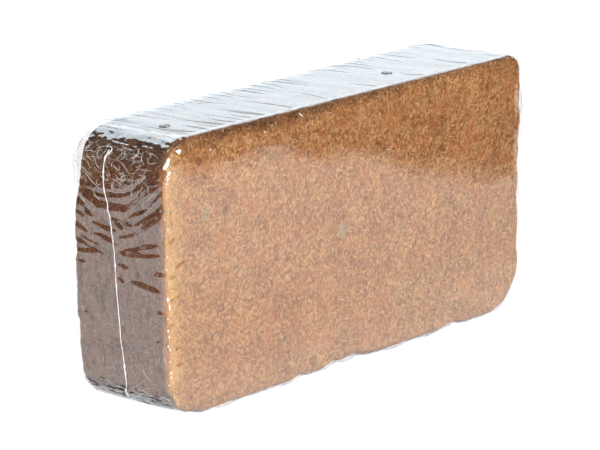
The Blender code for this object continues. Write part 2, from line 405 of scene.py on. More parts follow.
def coir_material():
    n = material_nodes("pressed coir")
    place = n.place()
    edge = n.attribute(WEAR_AND_SHADE)
    clumps = n.noise(place, 75.0, 3.0, 0.6)
    felt = n.noise(place, 820.0, 3.0, 0.7)
    flakes = n.add("TexVoronoi", {"feature": "F1"}, Vector=place, Scale=1050.0, Randomness=1.0)
    flake_tone = n.add("SeparateColor", Color=flakes.outputs["Color"])
    tone = n.math("MULTIPLY_ADD", n.centred(felt), 3.0, 0.5)
    tone = n.math("ADD", tone, n.times(n.centred(flake_tone), 0.46))
    tone = n.math("ADD", tone, n.times(n.centred(clumps), 0.80))
    colour = n.ramp(tone, (0.0, COIR_SHADOW), (0.26, COIR_DARK), (0.48, COIR_BROWN), (0.72, COIR_TAN),
                    (1.0, COIR_GOLD))
    reddish = n.span(n.noise(place, 95.0, 3.0, 0.65), 0.47, 0.64)
    colour = n.mix(n.times(reddish, 0.50), colour.outputs[0], COIR_RED)
    turned = n.stretched(place, (1.0, 1.0, 1.0), (0.4, 0.7, 0.2))
    olive = n.span(n.noise(turned, 230.0, 3.0, 0.6), 0.50, 0.68)
    colour = n.mix(n.times(olive, 0.35), colour, COIR_OLIVE)
    golden = n.span(n.noise(turned, 330.0, 3.0, 0.6), 0.52, 0.66)
    colour = n.mix(n.times(golden, 0.45), colour, COIR_GOLD)
    for mark_x, mark_z, radius, mark_colour, share in COIR_MARKS:
        radius = radius * MM
        offset = n.vector_math("SUBTRACT", place, (mark_x * MM, 0.0, mark_z * MM))
        level = n.vector_math("MULTIPLY", offset, (1.0, 0.0, 1.0))
        reach = n.vector_math("LENGTH", level).outputs["Value"]
        uneven = n.math("MULTIPLY_ADD", n.centred(n.noise(place, 420.0, 2.0)), 0.006, reach)
        colour = n.mix(n.span(uneven, 0.2 * radius, radius, share, 0.0), colour, mark_colour)
    along, through, _ = n.split(place)
    ragged = n.math("MULTIPLY_ADD", n.noise(place, 160.0, 3.0), 0.010, along)
    margin = n.span(ragged, -0.0830, -0.0935)
    on_front = n.span(through, -HALF_THICKNESS + 0.0022, -HALF_THICKNESS + 0.0006)
    colour = n.mix(n.times(n.times(margin, on_front), 0.60), colour, COIR_MARGIN)
    on_end = n.span(n.math("ABSOLUTE", along), HALF_LENGTH - 0.0014, HALF_LENGTH - 0.0004)
    colour = n.mix(on_end, colour, COIR_END, "MULTIPLY")
    specks = n.span(n.noise(turned, 205.0, 2.0, 0.5), 0.655, 0.735)
    colour = n.mix(n.times(specks, 0.60), colour, COIR_CRUMB_AND_SHADE)
    # Wear and painted shade: the coir is darkened towards crumb colour on its top, upper rims and the strip
    # below the front rim
    broken = n.span(n.noise(place, 260.0, 2.0), 0.35, 0.60)
    worn = n.times(edge, n.math("MULTIPLY_ADD", broken, 0.55, 0.35))
    colour = n.mix(worn, colour, COIR_CRUMB_AND_SHADE)
    height = n.math("ADD", felt, n.times(flakes.outputs["Distance"], -0.4))
    bump = n.add("Bump", Strength=0.8, Distance=0.0007, Height=height)
    shader = n.add("BsdfPrincipled", Roughness=0.92, Normal=bump)
    n.put(shader, "Base Color", colour)
    n.put(shader, "Specular IOR Level", 0.2)
    return n.finish(shader)


FIBRE_TONES = {
    "mixed": ((0.0, COIR_SHADOW), (0.08, COIR_DARK), (0.24, COIR_BROWN), (0.42, COIR_RED), (0.60, COIR_TAN),
              (0.84, COIR_GOLD), (1.0, FIBRE_PALE)),
    "brown": ((0.0, COIR_DARK), (0.25, COIR_BROWN), (0.60, COIR_RED), (0.85, COIR_TAN), (1.0, FIBRE_PALE)),
    "pale": ((0.0, COIR_GOLD), (1.0, FIBRE_PALE)),
    # The dark tones, for the rim crumbs, are partly the crumbs' own colour and partly painted shade
    "dark": ((0.0, (0.045, 0.018, 0.008)), (0.55, COIR_CRUMB_AND_SHADE), (0.80, COIR_DARK), (1.0, COIR_BROWN)),
}


def fibre_material(name, tones):
    n = material_nodes(name)
    island = n.add("NewGeometry").outputs["Random Per Island"]
    colour = n.ramp(island, *FIBRE_TONES[tones])
    patch = n.span(n.noise(n.place(), 150.0, 3.0, 0.6), 0.42, 0.66, 0.0, 0.40)
    colour = n.mix(patch, colour.outputs[0], COIR_RED)
    shader = n.add("BsdfPrincipled", Roughness=0.6)
    n.put(shader, "Base Color", colour)
    n.put(shader, "Specular IOR Level", 0.3)
    return n.finish(shader)


def film_material():
    """Clear film that mirrors more at grazing angles. Its attributes say where it is wrinkled, and where it
    is folded and grey-blue: partly its own tint, partly painted shade.
    """
    n = material_nodes("clear shrink film")
    place = n.place()
    wrinkle = n.attribute(WRINKLE)
    fold = n.attribute(FOLD_SHADE)
    ripple = n.noise(n.stretched(place, (1.0, 1.0, 1.6)), 150.0, 2.0)
    fine = n.noise(place, 620.0, 2.0)
    waves = n.times(n.math("ADD", ripple, n.times(fine, 0.10)), wrinkle)
    upward = n.split(n.add("NewGeometry").outputs["Normal"])["Z"]
    up = n.span(upward, 0.80, 0.97)
    pleats = n.noise(n.stretched(place, (1.0, 0.11, 1.0), (0.0, 0.0, 0.16)), 270.0, 2.0, 0.5)
    waves = n.math("ADD", waves, n.times(n.times(pleats, up), 0.30))
    bump = n.add("Bump", Strength=1.0, Distance=0.00035, Height=waves)
    facing = n.add("LayerWeight", Blend=0.5, Normal=bump).outputs["Facing"]
    mirror = n.math("MULTIPLY_ADD", n.math("POWER", facing, 5.0), 0.89, 0.110, clamp=True)
    # Where folded, the film lets less through and mirrors grey-blue: partly its own tint, partly painted
    # shade
    tint = n.mix(fold, (0.985, 0.986, 0.988), (0.50, 0.55, 0.68))
    clear = n.add("BsdfTransparent", Color=tint)
    gloss = n.add("BsdfGlossy", Roughness=0.055, Normal=bump)
    cloudy = n.centred(n.noise(n.stretched(place, (1.0, 1.0, 0.55)), 330.0, 3.0, 0.7))
    cloudy = n.times(cloudy, n.span(upward, 0.45, 0.10))
    cloudy = n.math("ADD", n.times(n.times(cloudy, wrinkle), 6.5), 0.96, clamp=True)
    shine = n.mix(1.0, n.mix(fold, (1.0, 1.0, 1.0), (0.55, 0.60, 0.72)), cloudy, "MULTIPLY")
    n.put(gloss, "Color", shine)
    return n.finish(n.blend(mirror, clear, gloss))


def white_film_material(name, share, colour, glow=0.0):
    """Film mixed with one flat colour: white where drawn up thick, and painted highlight and painted shade
    where the colour stands in for light. The glow is painted light, standing for light that runs along inside
    the film.
    """
    n = material_nodes(name)
    clear = n.add("BsdfTransparent")
    white = n.add("BsdfPrincipled", Roughness=0.3)
    n.put(white, "Base Color", (*colour, 1.0))
    n.put(white, "Emission Color", (*colour, 1.0))
    n.put(white, "Emission Strength", glow)
    return n.finish(n.blend(share, clear, white))


# The bale

def bulge(points):
    """Where the bale is fuller than a slab: the right end below its top, and the rim behind the left end."""
    x, y, z = np.moveaxis(points, -1, 0)
    right = 0.0011 * hump(z - 0.078, 0.020) * smooth(0.094, 0.100, x)
    left = 0.0008 * hump(z - 0.052, 0.034) * smooth(0.010, 0.022, y) * smooth(0.094, 0.099, -x)
    return right + left


# Chips out of the front base rim: place, width and depth in millimetres
BASE_CHIPS = (
    (-10.5, 5, 2), (0.5, 6, 2.5), (-29, 2.2, 1.2), (59, 4, 1.6), (-88, 4, 1), (-24, 3, 0.8),
)


def worn_depth(points):
    """How deep the upper back corner of the left end is worn."""
    return 0.0028 * hump(np.linalg.norm(points - np.array(WORN_CORNER), axis=-1), 0.015)


def coir_relief(points, normals):
    """How far the crumbled surface lies inside the pressed one."""
    x, y, z = np.moveaxis(points, -1, 0)
    rim = rim_share(normals, 0.75, 0.995)
    lower = smooth(0.1, 0.5, -normals[..., 2])
    off_base = 1 - smooth(0.80, 0.99, -normals[..., 2])
    lumps = 0.5 + 0.5 * fractal(points / 0.016, 2, 1)
    grain = np.abs(fractal(points / 0.0032, 2, 2))
    crumbs = np.clip(fractal(points / 0.0065, 2, 3) + 0.15, 0, None)
    chips = np.clip(noise(points / 0.0125, 5) - 0.05, 0, None)
    foot = lower * np.clip(0.6 + noise(stack(x, y, 0 * z) / 0.013, 6), 0.1, 1.4)
    relief = 0.00025 * lumps + 0.00018 * grain + worn_depth(points)
    relief = relief + rim * ((1 - 0.7 * lower) * (0.0010 * crumbs + 0.0022 * chips) - 0.0002 + 0.0002 * foot)
    return relief * (0.2 + 0.8 * off_base) - bulge(points)


def base_lift(points):
    """How far the chipped front base rim is raised."""
    x, y, z = np.moveaxis(points, -1, 0)
    chipped = MM * sum(depth * hump(x / MM - place, width) for place, width, depth in BASE_CHIPS)
    rough = 0.0004 * fractal(stack(x / 0.007, 0 * x, 0 * x), 2, 12)
    near = hump(z - COIR_BASE, 0.0075) * hump(y - MIDDLE_Y + BALE.half[1], 0.0075)
    return np.clip(chipped + rough, 0, None) * near


def coir_surface(block_points):
    """The crumbled surface below points on the bounding block, and its normals before it crumbled."""
    points, normals = BALE.project(block_points)
    points = points - normals * coir_relief(points, normals)[..., None]
    points[..., 2] += base_lift(points)
    return points, normals


def coir_edge(points, normals):
    """0 to 1: where the coir is darkened: painted shade over its whole top, wear with painted shade on its
    upper rims, and painted shade on the strip below the front one.
    """
    x, _, z = np.moveaxis(points, -1, 0)
    rim = rim_share(normals, 0.86, 0.995)
    upper = smooth(0.05, 0.35, normals[..., 2])
    ragged = z + 0.0016 * noise(points / 0.004, 9)
    strip = 0.9 * smooth(BALE_TOP - 0.0065, BALE_TOP - 0.0015, ragged) * hump(x + 0.045, 0.055)
    broad = smooth(0.6, 0.95, np.abs(normals[..., 1]))
    top = 0.75 * smooth(0.6, 0.95, normals[..., 2])
    return np.clip(0.6 * rim * upper + strip * broad + top, 0, 1)


def cut_lines(middle, half, *runs):
    """Cutting places from -1 to 1 across a slab, for (start, stop, step) runs in metres."""
    places = []
    for start, stop, step in runs:
        places.append(np.linspace(start, stop, max(2, round((stop - start) / step) + 1))[:-1])
    return (np.concatenate([*places, [runs[-1][1]]]) - middle) / half


def make_coir(material):
    x_lines = np.linspace(-1, 1, 190)
    y_lines = np.linspace(-1, 1, 56)
    z_lines = np.linspace(-1, 1, 104)
    verts, quads = BALE.block(x_lines, y_lines, z_lines)
    points, normals = coir_surface(verts)
    coir = new_object("coir_block", points, quads, material, "coir")
    add_layer(coir, WEAR_AND_SHADE, coir_edge(points, normals))
    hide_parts("coir_bale")
    return coir


# Fibres: short three-sided tubes lying on the bale

def fibre_paths(count, face_axis, face_sign, lengths, steps, seed, spread=1.5):
    """Random curved lines on one face of the block, as points before they are laid on the bale."""
    draw = np.random.default_rng(seed)
    u, v = [axis for axis in range(3) if axis != face_axis]
    start = np.zeros((count, 2))
    start[:, 0] = draw.uniform(-1, 1, count) * BALE.half[u]
    start[:, 1] = draw.uniform(-1, 1, count) * BALE.half[v]
    length = draw.uniform(*lengths, count) * draw.uniform(0.5, 1.0, count)
    heading = draw.normal(math.pi / 2, spread, count)
    bend = draw.normal(0.0, 0.9, count)
    twist = draw.normal(0.0, 0.9, count)
    share = np.linspace(0, 1, steps + 1)
    angle = heading[:, None] + bend[:, None] * share + twist[:, None] * share ** 2
    move = stack(np.cos(angle), np.sin(angle)) * (length / steps)[:, None, None]
    flat = start[:, None, :] + np.cumsum(move, axis=1) - move[:, :1]
    inside = np.all(np.abs(flat) < BALE.half[[u, v]], axis=(1, 2))
    flat = flat[inside]
    points = np.zeros((*flat.shape[:2], 3))
    points[..., face_axis] = face_sign * BALE.half[face_axis]
    points[..., u] = flat[..., 0]
    points[..., v] = flat[..., 1]
    return points + BALE.middle


def lay_fibres(paths, radii, lift, flatness=0.7):
    """Vertices and faces of the tubes that lie along the paths on the bale."""
    points, normals = coir_surface(paths)
    share = np.linspace(0, 1, paths.shape[1])
    arch = np.sin(math.pi * share)[None, :, None] * lift[:, None, None]
    points = points + normals * (arch - 0.00003)
    along = np.gradient(points, axis=1)
    along /= np.linalg.norm(along, axis=-1, keepdims=True) + 1e-12
    side = np.cross(along, normals)
    thick = (0.55 + 0.45 * np.sin(math.pi * share))[None, :, None] * radii[:, None, None]
    rings = [points + thick * (math.sin(turn) * side + flatness * math.cos(turn) * normals)
             for turn in (0, 2.094, 4.189)]
    verts = np.stack(rings, axis=2)
    count, stations = verts.shape[:2]
    number = np.arange(count * stations * 3).reshape(count, stations, 3)
    quads = []
    for side_index in range(3):
        after = (side_index + 1) % 3
        quads.append(np.stack([number[:, :-1, side_index], number[:, :-1, after],
                               number[:, 1:, after], number[:, 1:, side_index]], axis=-1).reshape(-1, 4))
    caps = np.concatenate([number[:, 0, ::-1], number[:, -1, :]])
    return verts.reshape(-1, 3), [face for part in (*quads, caps) for face in part.tolist()]


# How the loose stuff is drawn: lengths, steps, radii, lift, flatness
SHORT_FIBRES = ((0.0014, 0.0046), 3, (0.00011, 0.00022), (0.00005, 0.00024), 0.55)
LONG_FIBRES = ((0.005, 0.012), 6, (0.00008, 0.00015), (0.00008, 0.00028), 0.7)
PITH_FLAKES = ((0.0006, 0.0014), 1, (0.00020, 0.00042), (0.00003, 0.00012), 0.25)


def make_fibres(name, faces, material, seed):
    """One piece of many fibres. Each face is (axis, sign, short fibres, long fibres, flakes)."""
    draw = np.random.default_rng(seed)
    parts = []
    for axis, sign, *counts in faces:
        for count, kind in zip(counts, (SHORT_FIBRES, LONG_FIBRES, PITH_FLAKES)):
            lengths, steps, radius, lift, flatness = kind
            seed += 1
            paths = fibre_paths(count, axis, sign, lengths, steps, seed)
            radii = draw.uniform(*radius, len(paths))
            parts.append(lay_fibres(paths, radii, draw.uniform(*lift, len(paths)), flatness))
    return new_object(name, *joined(parts), material, "coir")


def make_rim_crumbs(name, material):
    """Loose dark crumbs and fibre ends along the upper rims, thickest above the left part of the front. Their
    very dark colour is partly their own, partly painted shade of the rim.
    """
    draw = np.random.default_rng(410)
    count = 2600
    along = draw.uniform(-1, 1, count)
    x = along * (BALE.half[0] - 0.004)
    sign = np.where(draw.uniform(size=count) < 0.72, -1, 1)
    down = np.abs(draw.normal(0.0, 0.0022, count))
    keep = draw.uniform(size=count) < 0.35 + 0.65 * hump(x + 0.045, 0.045)
    start = stack(x, MIDDLE_Y + sign * BALE.half[1], BALE_TOP - down)[keep]
    heading = draw.normal(0.0, 1.0, len(start))
    length = draw.uniform(0.0005, 0.0016, len(start))
    move = stack(np.cos(heading), 0 * heading, np.sin(heading)) * length[:, None]
    paths = np.stack([start, start + move * 0.5, start + move], axis=1)
    radii = draw.uniform(0.00010, 0.00030, len(paths))
    verts, faces = lay_fibres(paths, radii, draw.uniform(0.0, 0.0002, len(paths)), 0.6)
    return new_object(name, verts, faces, material, "coir")


# Single pale fibres that catch the eye on the front: points (x, z) along each, in millimetres
MARKED_FIBRES = (
    ((-73.8, 33.1), (-72.2, 34.5), (-70, 35.2), (-68, 35.8), (-66.5, 37.4)),
    ((-61.9, 76.7), (-62.1, 72), (-62.1, 68), (-62.3, 62.9)),
    ((-48, 42), (-46.5, 40.2), (-45.5, 38)),
)


def make_pale_fibres(material):
    draw = np.random.default_rng(88)
    lines = []
    for marked in MARKED_FIBRES:
        marked = np.array(marked) * MM
        share = np.linspace(0, len(marked) - 1, 9)
        x, z = (np.interp(share, range(len(marked)), marked[:, k]) for k in (0, 1))
        lines.append((stack(x, np.full_like(x, MIDDLE_Y - BALE.half[1]), z), 0.00019))
    for axis, sign, count in ((1, -1, 520), (1, 1, 520), (0, -1, 160), (0, 1, 160), (2, 1, 40)):
        for path in fibre_paths(count, axis, sign, (0.0015, 0.0060), 8, 900 + 7 * axis + sign, 1.2):
            lines.append((path, draw.uniform(0.00010, 0.00019)))
    paths = np.stack([path for path, radius in lines])
    radii = np.array([radius for path, radius in lines])
    verts, faces = lay_fibres(paths, radii, np.full(len(lines), 0.00022))
    return new_object("coir_pale_fibres", verts, faces, material, "coir")


# Film

def film_height(points, normals):
    """How far the film stands off its tight shape."""
    x, y, z = np.moveaxis(points, -1, 0)
    y = y - MIDDLE_Y
    up = smooth(0.55, 0.97, normals[..., 2])
    end = smooth(0.6, 0.98, np.abs(normals[..., 0]))
    broad = smooth(0.6, 0.98, np.abs(normals[..., 1]))
    off_base = 1 - smooth(0.80, 0.99, -normals[..., 2])
    height = 0.00005 * noise(points / 0.012, 40) * end + 0.00002 * noise(points / 0.020, 40) * broad
    height = height + up * top_pleats(x, y)
    height = height + end * (lenses(y, z, END_LENSES) + end_drape(x, y, z))
    height = height + 1.5 * broad * lenses(x, z, FRONT_LENSES)
    height = height + base_lip(points, normals) + (1 - broad) * crown_pleats(x, y, z)
    height = height - 0.0005 * up * smooth(0.0145, 0.0225, y) * smooth(-0.095, -0.080, x)
    rims = rim_share(normals, 0.72, 0.97)
    height = height + rims * 0.00028 * noise(points / np.array([0.0022, 0.0022, 0.0026]), 60)
    height = height + rim_slack(points, normals)
    upright = upright_rim(normals)
    height = height - 0.8 * upright * worn_depth(points) * (1 - 0.9 * hump(z - 0.0885, 0.0055))
    return height * (0.05 + 0.95 * off_base) + bulge(points)


def crown_pleats(x, y, z):
    """Pleats across the curve between each end and the top."""
    along = (BALE_TOP - z) - (HALF_LENGTH - np.abs(x))
    zone = smooth(0.086, 0.090, np.abs(x)) * smooth(0.088, 0.092, z)
    coarse = noise(stack(along / 0.0030 + y / 0.030, y / 0.013, np.sign(x)), 56)
    fine = noise(stack(along / 0.0014 + y / 0.020, y / 0.009, np.sign(x)), 57)
    return zone * (0.00028 * coarse + 0.00008 * fine)


def end_drape(x, y, z):
    """Shallow ripples that hang across the upper half of each end like drapery."""
    hang = z - 19.5 * (y - 0.005) ** 2
    ripple = noise(stack(y / 0.011, hang / 0.0024, 0 * y + np.sign(x)), 44)
    fine = noise(stack(y / 0.006, hang / 0.0013, 0 * y + np.sign(x)), 45)
    zone = smooth(0.048, 0.066, hang) * (1 - smooth(0.078, 0.081, hang))
    return zone * (0.00022 * ripple + 0.00007 * fine)


def rim_slack(points, normals):
    """Film that stands off the upright rims, most at the worn corner and least on the rim seen first."""
    x, y, z = np.moveaxis(points, -1, 0)
    upright = upright_rim(normals)
    left = smooth(0.0, 0.02, -x)
    front = smooth(0.0, 0.01, -(y - MIDDLE_Y))
    side = stack(0.37 * np.sign(x), 0.29 * np.sign(y))
    waves = 0.55 + 0.9 * noise(np.concatenate([side, (z / 0.011)[..., None]], -1), 63)
    fine = noise(np.concatenate([side, (z / 0.003)[..., None]], -1), 64)
    slack = np.clip(0.0004 * waves + 0.00018 * fine - 0.0002, -0.0004, None)
    worn = left * (1 - front)
    slack = slack * (1 - worn) + worn * (0.0001 + 0.0002 * fine)
    return upright * (1 - 0.9 * left * front) * slack


def base_lip(points, normals):
    """Film that squares off the rounded base rims, in scallops of unequal length."""
    x, y, z = np.moveaxis(points, -1, 0)
    sideways = np.hypot(normals[..., 0], normals[..., 1])
    lip = np.clip(-2 * normals[..., 2] * sideways, 0, 1)
    scallops = np.clip(0.10 + 1.1 * noise(stack(x / 0.016, np.sign(y), 0 * z), 61), 0, 1.2)
    scallops = scallops + 0.9 * hump(x + 0.003, 0.010)
    wavelets = noise(stack(x / 0.0038, y / 0.0050, z / 0.004), 62)
    along = 1 - 0.8 * smooth(0.078, 0.088, np.abs(x))
    return lip * along * (0.0007 * scallops + 0.00012 * wavelets)


def film_wrinkle(points, normals):
    """How wrinkled the film is, 0 to 1: strong on the ends and the rims, and slight on the broad faces."""
    end = smooth(0.5, 0.95, np.abs(normals[..., 0]))
    rims = rim_share(normals, 0.80, 0.98)
    up = smooth(0.5, 0.95, normals[..., 2])
    crown = smooth(0.084, 0.092, points[..., 2]) * end
    return np.clip(0.06 + 0.22 * end + 0.50 * rims + 0.12 * up - 0.10 * crown, 0, 1)


def top_pleats(x, y):
    draw = np.random.default_rng(51)
    total = 0.00012 * noise(stack(x / 0.011, y / 0.05, 0 * x), 52)
    total = total + 0.00003 * noise(stack((x + 0.25 * y) / 0.0024, y / 0.022, 0 * x), 53)
    places = np.arange(-0.097, 0.098, 0.0034)
    for place in places:
        place = place + draw.normal(0, 0.0012)
        width = draw.uniform(0.0006, 0.0013)
        amp = draw.uniform(0.00001, 0.00012)
        tilt = draw.normal(0.02, 0.05)
        curve = draw.normal(0.0, 2.0)
        centre = draw.uniform(-0.026, 0.026)
        reach = draw.uniform(0.012, 0.045)
        line = place + tilt * y + curve * y ** 2
        total = total + amp * hump(x - line, width) * hump(y - centre, reach)
    return total


# Lens-shaped ripples of the end film in millimetres: place (y, z), half length, half height,
# turn in degrees, rise
END_LENSES = (
    (14.2, 76.2, 6.2, 1.6, 33, 0.5), (2.5, 73.8, 9, 1.5, -3, 0.5), (-14.6, 81.6, 8, 1.7, -35, 0.55),
    (-14.6, 69.4, 8.2, 1.8, -37, 0.6), (-7.5, 76.5, 3, 0.9, -30, 0.24), (6.8, 62.6, 5.6, 1.2, 14, 0.34),
    (19, 65.2, 3, 1.1, 25, 0.3), (13.8, 70, 2.6, 1.4, 8, 0.34), (0.2, 68.2, 2.2, 1.1, 17, 0.28),
    (-5, 69, 1.8, 0.8, -20, 0.22), (15.4, 56.6, 5.6, 1.1, 0, 0.32), (19, 60, 2.2, 0.8, 10, 0.24),
    (-10, 58.5, 10.5, 1.5, -7, 0.5), (-14, 62.2, 5, 1, -16, 0.32), (-2.1, 53.6, 3.6, 1.2, 16, 0.34),
    (17.5, 52.7, 1.8, 0.8, 0, 0.22), (-13, 47.7, 8.2, 1.3, 7, 0.52), (-1, 48.3, 2.4, 1.1, 22, 0.32),
    (-19.5, 53.2, 3, 1.1, -8, 0.34), (-19.3, 39.6, 3, 1, -10, 0.34), (-18.3, 29, 3.4, 0.9, -23, 0.32),
    (-2, 52, 1.5, 0.7, -30, 0.22), (16.6, 34.1, 2, 0.8, -13, 0.28), (15.2, 25.1, 1.1, 0.7, 0, 0.26),
    (6.2, 10, 3, 0.9, 34, 0.34), (-10, 10.4, 6.4, 0.9, 13, 0.36), (-15.2, 15, 2.4, 0.8, 33, 0.32),
    (-13.5, 6.8, 5, 0.8, -8, 0.34), (10, 6.2, 5, 0.8, 12, 0.32),
)

# The same on the broad faces, with places as (x, z)
FRONT_LENSES = (
    (-93, 55.7, 4.2, 1.1, 22, 0.24), (-97, 52.1, 2.6, 1, 10, 0.24), (-96, 44.4, 3.4, 1, 15, 0.24),
    (-98, 35.2, 2.4, 0.9, 10, 0.24), (-95.5, 26.3, 2.4, 0.9, 12, 0.26), (-94.5, 20.2, 3.4, 1.1, 3, 0.34),
    (-97.2, 65, 2.2, 0.9, 18, 0.22), (-96.8, 11.8, 2.2, 0.8, 8, 0.24),
)


def lenses(across_face, z, places):
    """The rise, in metres, of the ripples that a table gives in millimetres."""
    total = 0.0
    for place, place_z, half_long, half_high, turn, rise in places:
        turn = math.radians(turn)
        right, above = across_face / MM - place, z / MM - place_z
        along = right * math.cos(turn) + above * math.sin(turn)
        across = above * math.cos(turn) - right * math.sin(turn)
        total = total + rise * hump(along, half_long * 0.78) * hump(across, half_high)
    return total * MM


def film_fold(points, normals):
    """0 to 1: where the film is grey-blue, partly its own tint where folded thick and partly painted shade:
    along every rim but the one seen first.
    """
    x, y, _ = np.moveaxis(points, -1, 0)
    rims = rim_share(normals, 0.80, 0.98)
    above_base = 1 - smooth(0.3, 0.7, -normals[..., 2])
    first = smooth(0.0, 0.02, -x) * smooth(0.0, 0.01, -(y - MIDDLE_Y)) * above_base
    lip = smooth(0.15, 0.6, -normals[..., 2]) * (1 - smooth(0.9, 0.99, -normals[..., 2]))
    uneven = np.clip(0.65 + 0.8 * noise(points / 0.007, 66), 0.1, 1.0)
    upper = smooth(0.2, 0.6, normals[..., 2])
    rims = 0.12 * rims * (1 - first) * (1 - 0.8 * upper)
    return np.clip((rims + 0.45 * lip) * uneven, 0, 1)


def make_film(material):
    reach, _, up = FILM.half
    x_lines = cut_lines(0.0, reach, (-reach, 0.012 - reach, 0.0005), (0.012 - reach, reach - 0.012, 0.0022),
                        (reach - 0.012, reach, 0.0005))
    y_lines = np.linspace(-1, 1, 80)
    base = FILM.middle[2] - up
    z_lines = cut_lines(FILM.middle[2], up, (base, 0.042, 0.0007), (0.042, base + 2 * up, 0.0005))
    verts, quads = FILM.block(x_lines, y_lines, z_lines)
    points, normals = FILM.project(verts)
    layers = {WRINKLE: film_wrinkle(points, normals), FOLD_SHADE: film_fold(points, normals)}
    points = points + normals * film_height(points, normals)[:, None]
    points[:, 2] += FILM_FOLLOW * base_lift(points)
    quads = punch_vents(points, normals, quads)
    film = new_object("film_skin", points, quads, material, "film")
    for layer_name, values in layers.items():
        add_layer(film, layer_name, values)
    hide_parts("shrink_film")
    return film


def punch_vents(points, normals, quads):
    """Drops the quads inside each vent hole and draws the edge of what is left on to its circle."""
    for place_x, place_y in VENT_PLACES:
        offset = points[:, :2] - np.array([place_x, place_y + MIDDLE_Y])
        reach = np.hypot(offset[:, 0], offset[:, 1])
        on_top = normals[:, 2] > 0.9
        middle = reach[quads].mean(axis=1)
        inside = (middle < VENT_RADIUS) & on_top[quads].all(axis=1)
        edge = np.intersect1d(quads[inside], quads[~inside])
        points[edge, :2] += offset[edge] * (VENT_RADIUS / reach[edge] - 1)[:, None]
        quads = quads[~inside]
    return quads


def make_vent_rims(name, radius, thickness, material):
    turn = np.linspace(0, 2 * math.pi, 25)
    height = np.full_like(turn, BALE_TOP + FILM_GAP + 0.00012)
    parts = []
    for place_x, place_y in VENT_PLACES:
        ring = stack(place_x + radius * np.cos(turn), place_y + MIDDLE_Y + radius * np.sin(turn), height)
        parts.append(tube(ring, np.full(len(turn), thickness), 6))
    return new_object(name, *joined(parts), material, "film")


# Pleats that start at the front rim, along its length in millimetres
FRONT_PLEATS = (-86, -82, -75.5, -70, -66.2, -61.5, -57, -53, -48, -45.5, -30, -12, 15, 42, 70)


def pleat_lines():
    """Sharp folds across the top: many short ones from the back edge, and longer ones near the front left."""
    draw = np.random.default_rng(155)
    lines = []
    for place in np.arange(-0.093, 0.096, 0.0052):
        start = (place + draw.normal(0, 0.0012), 0.0212)
        reach = draw.uniform(0.006, 0.022)
        slant = draw.normal(0.05, 0.07)
        lines.append((start, reach, slant, draw.uniform(0.00009, 0.00020)))
    for place in FRONT_PLEATS:
        reach = -draw.uniform(0.010, 0.024)
        start = (place * MM + draw.normal(0, 0.0006), -0.0208)
        lines.append((start, reach, draw.normal(0.12, 0.08), draw.uniform(0.00012, 0.00026)))
    return lines


def make_pleats(material):
    draw = np.random.default_rng(156)
    share = np.linspace(0, 1, PLEAT_POINTS)
    lines = []
    for (start_x, start_y), reach, slant, radius in pleat_lines():
        x = start_x + slant * reach * share + 0.0016 * draw.normal() * share * (1 - share) * 4
        block = stack(x, MIDDLE_Y + start_y - reach * share, np.full_like(x, BALE_TOP + FILM_GAP))
        lines.append((block, radius * np.sin(math.pi * (0.03 + 0.94 * share ** 0.55))))
    return tubes_on_film("film_pleats", lines, material, 0.00002)


def rim_lines():
    """Lines along the film's rims, as points on its bounding block, with how thick each is drawn."""
    reach, across, _ = FILM.half
    base = FILM.middle[2] - FILM.half[2]
    lines = []
    for x, y, low, high, size in ((-reach, across, 0.078, 0.096, 0.5), (reach, -across, 0.020, 0.094, 1.0),
                                  (reach, across, 0.020, 0.094, 0.8)):
        z = np.linspace(low, high, 150)
        lines.append((stack(0 * z + x, 0 * z + y + MIDDLE_Y, z), size))
    for y, size in ((-across, 1.0), (across, 0.9)):
        x = np.linspace(-0.089, 0.089, 300)
        lines.append((stack(x, 0 * x + y + MIDDLE_Y, 0 * x + base), size))
    for x in (-reach, reach):
        y = np.linspace(-0.020, 0.020, 80)
        lines.append((stack(0 * y + x, y + MIDDLE_Y, 0 * y + base), 1.0))
    return lines


def make_rim_folds(material):
    """The film's outermost fold on each rim, uneven and broken, coloured grey-blue: partly the folded film's
    tint, partly a painted shade line.
    """
    lines = []
    for number, (block, size) in enumerate(rim_lines()):
        seed = 160 + number
        wave = np.clip(0.5 + 1.1 * noise(block / 0.010, seed) + 0.5 * noise(block / 0.003, seed), 0.05, 1.4)
        lines.append((block, size * 0.00014 * wave))
    return tubes_on_film("film_rim_folds_painted_shade", lines, material, 0.0)


